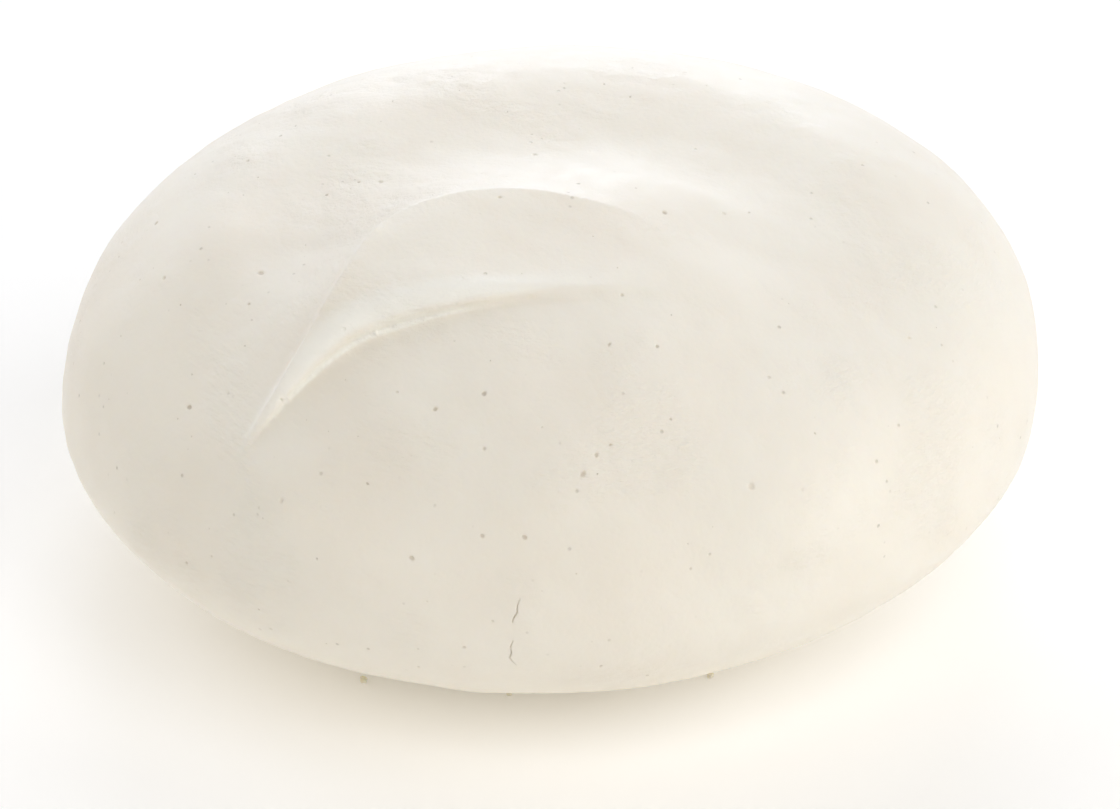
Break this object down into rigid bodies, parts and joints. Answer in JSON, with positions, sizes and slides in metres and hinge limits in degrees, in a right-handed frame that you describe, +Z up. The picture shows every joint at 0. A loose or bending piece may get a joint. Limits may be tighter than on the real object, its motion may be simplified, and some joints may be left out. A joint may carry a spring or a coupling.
{
  "type": "meringue-shaped shaving soap puck",
  "caption": "Round whipped puck, cream white, with a peak drawn out and folded over its domed top, fine air pores and a flat base to rest on; it reads as a meringue.",
  "frame": {"origin": "middle of the bounding box at the height of the flat base, so z = 0 is the surface that the puck rests on", "axes": "+Z up, the shortest extent; +X to the right along the widest extent; +Y to the back, away from the side that the peak is folded to"},
  "size_m": [0.0762, 0.0711, 0.0381],
  "materials": {
    "crust": "matt dried foam with a faint satin skin, fine pores and slight translucency",
    "core": "matt soft foam",
    "base_skin": "smooth matt skin, flattened by the tray",
    "crumbs": "dry broken flakes"
  },
  "bodies": {
    "root": {"crust": "crust", "core": "core", "base_skin": "base_skin", "foot_crumbs": "crumbs"}
  },
  "joints": []
}
